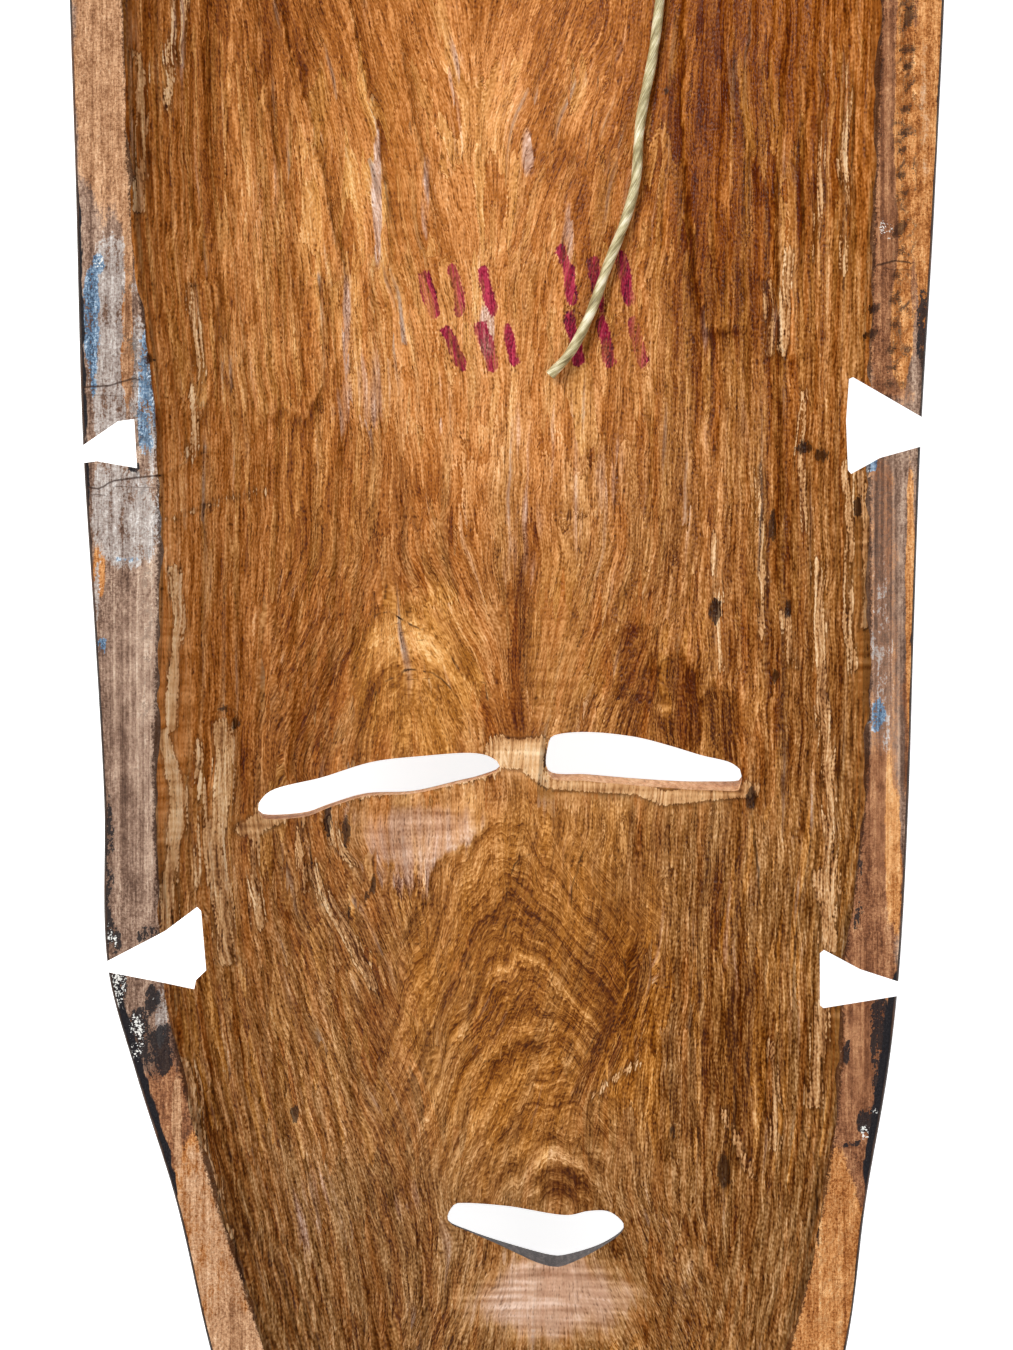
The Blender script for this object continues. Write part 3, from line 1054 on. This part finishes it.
def hollow_wood():
    """Oiled reddish hardwood: fibres, gouged facets, growth rings, torn strips and pen strokes."""
    f = Finish("hollow_wood")
    x, y, z = f.millimetres()
    lean, ring, figure, light, brown, gold = f.attributes("lean ring figure light brown gold")
    mauve, striped, facet, calm, strip = f.attributes("mauve striped facet calm strip")
    crack, cracked, shade, char, pen, rim_side = f.attributes("crack cracked shade char pen rim_side")

    # Fibres follow the lean from ragged row to ragged row
    row = ((y + f.waves(x * 0.4, y * 0.03, 0) * 60) * (1 / FIBRE_ROW)).floor()
    across = x - lean * (y - row * FIBRE_ROW - FIBRE_ROW / 2) + f.waves(x * 0.07, y * 0.05, 1) * 3.5

    def fibres(*size):
        return fibres_in(f, across, y, z, *size)

    speck, hair, fine, sliver = fibres(0.45, 0.9), fibres(0.42, 6), fibres(0.85, 14), fibres(0.9, 26, 1)
    fleck, streak, bundle = fibres(1.7, 34), fibres(3.6, 85), fibres(2, 170, 1)
    curl = f.waves(across * 0.9, y * 0.9, z * 0.9, 0)

    # Facets left by the gouge: each runs from light to dark, and ends in a crisp edge
    slope = fibres(11, 85) * 8 + speck * 0.25 + fine * 0.3
    tooth = slope.fraction()
    flap = f.white(slope.floor(), (row * 0.5).floor())
    plain = (1 - figure) * (1 - calm * 0.8)
    present = (0.6 + streak * 2 + flap * 0.5).step(0.4, 0.6) * plain
    lip = (tooth.step(0.9, 0.98) * 0.13 - tooth.step(0.1, 0) * 0.3) * present

    rings = f.bands(ring + curl * 2 + fine * 0.4, 1, 1) * 0.42 + f.bands(ring + curl * 1.4, 0.17, 0) * 0.42
    rings = rings + f.waves(x * 0.28 + curl, ring * 1.1 + curl, 3, 2, 0.7) * 0.75 + curl * 0.3
    quiet = (1 - figure * 0.5) * (1 - calm * 0.75) * (0.85 + brown * 0.35)
    saw_marks = f.waves(x * 0.04, y * 0.45, 2) * 0.8 * calm
    tone = (0.47 + light + facet * 0.06 + (flap * 0.13 + (0.5 - tooth) * 0.13) * plain + lip
            + (speck * 0.5 + hair * 0.5 + fine * 0.38 + fleck * 0.3) * quiet + streak * 0.16 * plain
            + bundle * striped * 0.6 + shade * 0.18 + rings * figure + saw_marks)
    browned = (brown + streak * 1.2 + flap * 0.6).clamped()
    gilded = (gold + streak * 1.2 + flap * 1.3 * plain).clamped()
    shiny = (mauve + (fleck * 1.2 + streak * 0.8) * (1 - calm)).step(0.25, 0.8) * 0.85
    ragged = strip * 0.45 + sliver * 2.4 * (1 - calm) + speck * 0.5
    torn = ragged.step(0, 0.14)
    ink = (pen + speck * 0.9 + fine * 0.9).step(0.2, -0.3) * (0.85 + streak * 2 + hair * 1.2).clamped()
    colour = f.mix(browned, f.ramp(tone, "red"), f.ramp(tone, "umber"))
    colour = f.mix(gilded, colour, f.ramp(tone, "ochre"))
    colour = f.mix(shiny, colour, f.ramp(tone, "sheen"))
    colour = f.mix(torn * 0.9, colour, f.ramp(tone + sliver * 0.9, "raw"))
    colour = f.mix(ink, colour, f.ramp(tone - light * 0.7, "ink"))

    # What is dark: cracks, charred nicks, pores, the hollow's edge and the feet of torn strips
    line = crack_line(crack, cracked) * (0.45 + streak * 2 + fleck * 2).clamped()
    burnt = (char + speck * 0.8 + fine * 0.8).step(0.3, 0.6) * char.step(0.05, 0.3)
    under_rim = (rim_side + speck + fleck * 4 + streak * 6).step(-1.4, 0) * 0.48
    pores = (hair + speck * 0.8).step(-0.2, -0.42) * 0.4
    beside_torn = ragged.step(-0.4, -0.05) * (1 - torn)
    dark = line * 0.8 + burnt * 0.85 + under_rim + pores + beside_torn * 0.45
    colour = f.mix(dark.clamped(), colour, srgb(44, 20, 4))
    height = speck * 0.3 + hair * 0.3 + fine * 0.4 + fleck * 0.5 + tooth * 0.6 * plain
    gloss = 0.46 - mauve * 0.1 + torn * 0.2 + fine * 0.3
    return f.surface(Base_Color=colour, Roughness=gloss, Normal=f.bump(height, 0.0008, 0.7),
                     Specular_IOR_Level=0.14)


def rim_wood():
    """The rim's wood: stained and handled, with bare, scooped, greyed, blue and sooty patches."""
    f = Finish("rim_wood")
    x, y, z = f.millimetres()
    light, warm, rough, ember, peach, calm = f.attributes("light warm rough ember peach calm")
    grey, blue, soot, crack, cracked, char = f.attributes("grey blue soot crack cracked char")
    rim_side, rim_edge, glitter = f.attributes("rim_side rim_edge glitter")
    hair, fine = fibres_in(f, x, y, z, 0.4, 3), fibres_in(f, x, y, z, 0.9, 7)
    lines = fibres_in(f, x, y, z, 1.6, 140, 2)
    speck = f.waves(x * 1.6, y * 1.1, 8, 2, 0.7)
    blots = f.waves(x * 0.3, y * 0.12, 6, 3, 0.7)
    ticks = f.waves(x * 0.8, y * 2.4, 9)
    chips = f.cells(x * 0.24 + speck * 1.2, y * 0.17 + speck * 0.9)
    patchy = speck * 0.9 + blots * 1.5 + lines * 0.6
    tone = (0.49 + light + lines * (0.7 + calm * 0.5) + blots * 0.8 + rough * (chips - 0.2) * 0.4
            + (speck * 0.9 + hair * 0.3 + ticks * 0.3) * (1 - calm * 0.55))
    greyed = grey * (1 - peach * 0.9) * (1 + patchy * 2.6)
    colour = f.ramp(tone, "plum")
    for amount, shades in (
        ((warm + patchy * 0.5).step(0.3, 0.6), "russet"),
        ((ember + patchy * 0.4).step(0.35, 0.5), "orange"),
        ((peach + patchy * 0.5).step(0.35, 0.6), "bare"),
        (greyed.step(0.4, 0.6) * 0.9, "bloom"),
    ):
        colour = f.mix(amount, colour, f.ramp(tone, shades))
    blued = (blue * (1 + patchy * 2.8)).step(0.46, 0.58) * 0.94
    colour = f.mix(blued, colour, f.ramp(tone + speck * 0.6, "steel"))
    crackle = chips.step(0.12, 0.03) * rough * (0.35 + patchy * 4).clamped()
    sooty = (soot * (1 + patchy * 2.4)).step(0.5, 0.62) * 0.94 + crackle * 0.8
    stained = (rim_edge + fine + blots * 2.4).step(0.2, -0.2)
    colour = f.mix((sooty + stained).clamped(), colour, srgb(27, 24, 28))
    glints = (glitter * (0.5 + speck * 2.2 + blots * 2 + ticks)).step(0.6, 0.74)
    colour = f.mix(glints, colour, srgb(246, 244, 238))
    inner = (rim_side - 0.5 + speck * 3 + blots * 2).step(0.5, -0.3) * 0.75
    burnt = (char + speck * 1.2 + ticks).step(0.3, 0.6) * char.step(0.05, 0.3)
    dots = (ticks + speck * 0.6).step(0.16, 0.3) * 0.45 * (1 - calm * 0.5)
    dark = crack_line(crack, cracked) * 0.8 + burnt * 0.8 + inner + dots
    colour = f.mix(dark.clamped(), colour, srgb(50, 24, 8))
    bump = f.bump(hair * 0.4 + fine * 0.6 + speck * 1.2, 0.0008, 0.7)
    return f.surface(Base_Color=colour, Roughness=0.5 - blue * 0.2 + fine * 0.3, Normal=bump,
                     Specular_IOR_Level=0.16)


def cut_wood(name, roughness):
    """Wood cut across its fibres: fine speckle, and faint marks of the blade."""
    f = Finish(name)
    speckle = f.scaled_noise((1400, 1400, 1400), 2, 0.65)
    blade = f.scaled_noise((700, 700, 90), 2)
    colour = f.ramp(0.5 + speckle * 0.9 + blade * 0.9, name)
    bump = f.bump(speckle + blade, 0.0005, 0.6)
    return f.surface(Base_Color=colour, Roughness=roughness, Normal=bump, Specular_IOR_Level=0.25)


def stained_wood():
    """Black-brown stain over the carved face and sides, rubbed back to red wood on what stands out."""
    f = Finish("stained_wood")
    proud, = f.attributes("proud")
    grain = f.scaled_noise((900, 90, 500), 3)
    streaks = f.scaled_noise((160, 18, 90), 3)
    blotches = f.scaled_noise((34, 34, 34), 3)
    rubbed = (proud + blotches * 1.6 + streaks * 0.8 + grain * 0.5).step(0.45, 1.05)
    tone = 0.5 + grain * 0.9 + streaks * 0.6
    bump = f.bump(grain * 0.6 + streaks + blotches * 0.4, 0.0012, 0.6)
    return f.surface(Base_Color=f.mix(rubbed, f.ramp(tone, "stain"), f.ramp(tone, "rubbed")),
                     Roughness=0.48 + grain * 0.3, Normal=bump, Specular_IOR_Level=0.25)


# Pieces


def arch_distance(x, y):
    """0 in the middle of the arch of rings over the left slit, 1 on its edge."""
    return np.hypot((x + 29) / 23, (y + 46) / 44)


def growth_rings(x, y, cut):
    """A coordinate whose levels are the growth rings' lines, and how strongly they show."""
    down = np.clip((-73 - y) / 90, 0, 1)  # from the top of the nose's figure to the mouth
    aside = x - (-2 + 17 * down)
    spread = 9 + 18 * down
    lobes = 6 * np.abs(noise(aside / 8, y / 34, 71)) + 2 * np.abs(noise(aside / 3.5, y / 16, 72))
    rings = y + 2.3 * (np.sqrt(aside**2 + spread**2) - spread) - 2.5 * cut - lobes
    shows = patch_field("figure", x, y)
    past_crease, near_crease = beside([(34, -98), (34, -111), (17, -143)], x, y)
    shows = shows * (1 - smooth(0, 1.5, past_crease) * near_crease * (y > -145))
    above, near_scallops = hand_cut(SCALLOPS, x, y)
    shows = shows * (1 - smooth(-0.3, 0.3, above) * near_scallops)
    q = arch_distance(x, y)
    here = smooth(1.06, 0.94, q) * smooth(-62, -54, y)
    rings = np.where(here > 0, 24 * q - 0.8 * cut + 40, rings)
    shows = np.where(here > 0, 0.8 * here, shows)
    return rings, np.clip(shows, 0, 1)


def wood_fields(x, y):
    """What the wood's finish reads at each point of the mask."""
    cut, facet = strokes(x, y)
    inside = 1 - smooth(SIDES, 1, reach(x, y, hollow))
    rings, shows = growth_rings(x, y, np.clip(cut, -0.5, 2))
    outer_middle, outer_half = outline(y)[:2]
    black_edge = 0.5 + 2.2 * smooth(-101, -107, y) * smooth(-168, -150, y)
    black_edge += 0.9 * (x < 0) * smooth(118, 100, y) * smooth(10, 40, y)
    crack, cracked = np.full(x.shape, 3.0), np.zeros(x.shape)
    for points, strength in [(points, 1) for points in CRACKS] + [(ledge[0], 0.35) for ledge in LEDGES]:
        offset, present = hand_cut(points, x, y)
        closer = np.abs(offset) < np.abs(crack)
        crack = np.where(closer, offset, crack)
        cracked = np.where(closer, strength * present * smooth(3.0, 2.2, np.abs(offset)), cracked)
    kinds = [kind for kind in PATCHES if kind not in ("light", "figure")]
    fields = {kind: np.clip(patch_field(kind, x, y), 0, 1) for kind in kinds}
    for kind in ("mauve", "calm"):
        fields[kind] = fields[kind] * (1 - shows)
    mottled = 0.035 * layered(x / 12, y / 40, 81)
    q = arch_distance(x, y) + 0.03 * noise(x / 6, y / 6, 82)
    arch = 0.13 * ridge(q - 0.86, 0.1) - 0.06 * ridge(q - 0.66, 0.07) + 0.05 * ridge(q - 0.5, 0.06)
    arch = (arch - 0.12 * ridge(q - 1.02, 0.04)) * smooth(-62, -54, y) * smooth(4, -2, x)
    return {
        **fields, "light": patch_field("light", x, y) + mottled + arch,
        "ring": rings, "figure": shows * inside,
        "lean": inside * grain_lean(x, y), "brown": np.clip((110 - y) / 260 + x / 350, 0, 1),
        "facet": facet * inside, "strip": strips(x, y)[0], "shade": ledge_shade(x, y) * inside,
        "crack": crack, "cracked": cracked, "pen": pen_distance(x, y),
        "char": np.maximum(nick_depth(x, y), 0.8 * torn_edge(x, y)[0]),
        "proud": np.clip(face_relief(x - FACE_AXIS, y) / 34, 0, 1),
        "rim_side": np.clip((reach(x, y, hollow) - 1) * hollow(y)[1], -3, 3),
        "rim_edge": np.clip(outer_half - np.abs(x - outer_middle) - black_edge, -3, 9),
    }


SHARP_EDGE = 58  # degrees between two faces from which the edge stays sharp


def make_mask():
    stained = stained_wood()
    raw, grey = cut_wood("raw_cut_wood", 0.7), cut_wood("grey_cut_wood", 0.6)
    mask = slab(hollow_sheet(), -DEPTH)
    carve(mask, slab(face_sheet(), 2 * DEPTH), "INTERSECT", stained)
    carve(mask, outline_prism(), "INTERSECT", stained)
    carve(mask, slit(LEFT_EYE, 1.6), "DIFFERENCE", raw)
    carve(mask, slit(RIGHT_EYE, 3.5), "DIFFERENCE", raw)
    carve(mask, slit(MOUTH, 5, swell=12), "DIFFERENCE", grey)
    for tool in [notch(points) for points in NOTCHES] + [twine_hole(side) for side in (-1, 1)]:
        carve(mask, tool, "DIFFERENCE", raw)
    count = len(mask.data.vertices)
    places = np.empty(count * 3)
    mask.data.vertices.foreach_get("co", places)
    x, y = places.reshape(-1, 3).T[:2] / MM
    number_points(mask, **wood_fields(x, y))
    select_only(mask)
    bpy.ops.object.shade_smooth_by_angle(angle=math.radians(SHARP_EDGE))
    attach(mask, "root")
    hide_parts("mask")


def twisted_strands(name, path, diameter):
    """Twisted strands along a path: each ring of the tube bulges once for each strand."""
    heading = np.gradient(path, axis=0)
    heading /= np.linalg.norm(heading, axis=1)[:, None]
    run = np.concatenate([[0], np.cumsum(np.linalg.norm(np.diff(path, axis=0), axis=1))])
    sideways = np.cross(heading[0], [0, 0, 1.0])
    turn = np.linspace(0, 2 * math.pi, TWINE_SIDES, endpoint=False)
    rings, phases = [], []
    for place, ahead, far in zip(path, heading, run):
        sideways = sideways - ahead * (sideways @ ahead)
        sideways /= np.linalg.norm(sideways)
        phase = TWINE_STRANDS * (turn - 2 * math.pi * far / TWINE_PITCH)
        radius = diameter / 2 * (0.88 + 0.12 * np.abs(np.cos(phase / 2)) ** 0.8)
        around = np.cos(turn)[:, None] * sideways + np.sin(turn)[:, None] * np.cross(ahead, sideways)
        rings.append(place + radius[:, None] * around)
        phases.append(phase)
    phases = np.array(phases)
    runs = np.broadcast_to(run[:, None], phases.shape)
    return loft(name, rings, strand_cos=np.cos(phases), strand_sin=np.sin(phases), run=runs)


def waxed_twine():
    """Pale waxed twine: dark between its strands, with fine threads along them."""
    f = Finish("waxed_twine")
    cosine, sine, run = f.attributes("strand_cos strand_sin run")
    threads = f.waves(cosine * 2.2, sine * 2.2, run * 0.12, 2)
    blotches = f.waves(cosine * 0.3, sine * 0.3, run * 0.16, 2)
    between = cosine.step(-0.6, -1)
    tone = 0.56 + threads * 1.2 + blotches * 1.6 - between * (0.12 + blotches * 0.6)
    return f.surface(Base_Color=f.ramp(tone, "twine"), Roughness=0.42 + threads * 0.3,
                     Normal=f.bump(threads, 0.0003, 0.6))


def make_twine(material):
    path = spline(TWINE_ROUTE, TWINE_RINGS)
    twine = twisted_strands("twine", path, TWINE_DIAMETER)
    twine.data.materials.append(material)
    return twine, path * MM


def make_knot(material):
    """An overhand knot against the inner mouth of the first hole."""
    start, next_point = (np.array(point) for point in TWINE_ROUTE[:2])
    line = (next_point - start) / np.linalg.norm(next_point - start)
    sideways = np.cross(line, [1.0, 0, 0])
    middle = start - line * (KNOT_LENGTH / 2 + 0.4)
    strand = KNOT_RADIUS * 0.36
    t = np.linspace(0.25, 2 * math.pi - 0.1, 90)[:, None]
    out, along_line = (KNOT_RADIUS - strand) / 3, KNOT_LENGTH / 2 - strand
    path = middle + out * (np.sin(t) + 2 * np.sin(2 * t)) * [1.0, 0, 0]
    path = path + out * (np.cos(t) - 2 * np.cos(2 * t)) * sideways + along_line * np.sin(3 * t) * line
    knot = twisted_strands("stopper_knot", path, 2 * strand)
    knot.data.materials.append(material)
    return knot


def make_camera():
    camera = bpy.data.cameras.new("camera")
    camera.sensor_width = SENSOR
    camera.lens = SENSOR * EYE_ABOVE_RIM / VIEW_HEIGHT
    camera.clip_start = 0.05
    holder = bpy.data.objects.new("camera", camera)
    holder.location = (EYE_POINT[0] * MM, EYE_POINT[1] * MM, (DEPTH + EYE_ABOVE_RIM) * MM)
    bpy.context.scene.collection.objects.link(holder)
    bpy.context.scene.camera = holder


def make_light(name, place, size, power, colour=(1, 1, 1)):
    lamp = bpy.data.lights.new(name, "AREA")
    lamp.size = size
    lamp.energy = power
    lamp.color = colour
    holder = bpy.data.objects.new(name, lamp)
    holder.location = place
    holder.rotation_euler = Vector(place).to_track_quat("Z", "Y").to_euler()
    bpy.context.scene.collection.objects.link(holder)


def make_world():
    scene = bpy.context.scene
    scene.world = bpy.data.worlds.new("studio")
    scene.world.use_nodes = True
    background = scene.world.node_tree.nodes["Background"].inputs
    background["Color"].default_value = (1, 1, 1, 1)
    background["Strength"].default_value = 0.24
    scene.view_settings.view_transform = "Standard"


def make_floor():
    bpy.ops.mesh.primitive_plane_add(size=6, location=(0, 0, -0.0005))
    floor = bpy.context.object
    floor.name = "floor"
    f = Finish("pale_floor")
    floor.data.materials.append(f.surface(Base_Color=srgb(245, 245, 245), Roughness=0.9,
                                          Emission_Color=(1, 1, 1, 1), Emission_Strength=0.85))


make_camera()
twine_finish = waxed_twine()
twine, twine_path = make_twine(twine_finish)
knot = make_knot(twine_finish)
for piece, node in ((twine, "hanging_twine"), (knot, "twine_knot")):
    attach(piece, "root")
    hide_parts(node)
make_mask()
make_floor()
make_light("key", (-0.9, 1.0, 1.3), 0.8, 32, (1, 0.98, 0.95))
make_light("fill", (1.2, 0.1, 1.3), 1.2, 12, (0.95, 0.97, 1))
make_light("low", (0.0, -1.4, 1.1), 1.0, 8)
make_world()
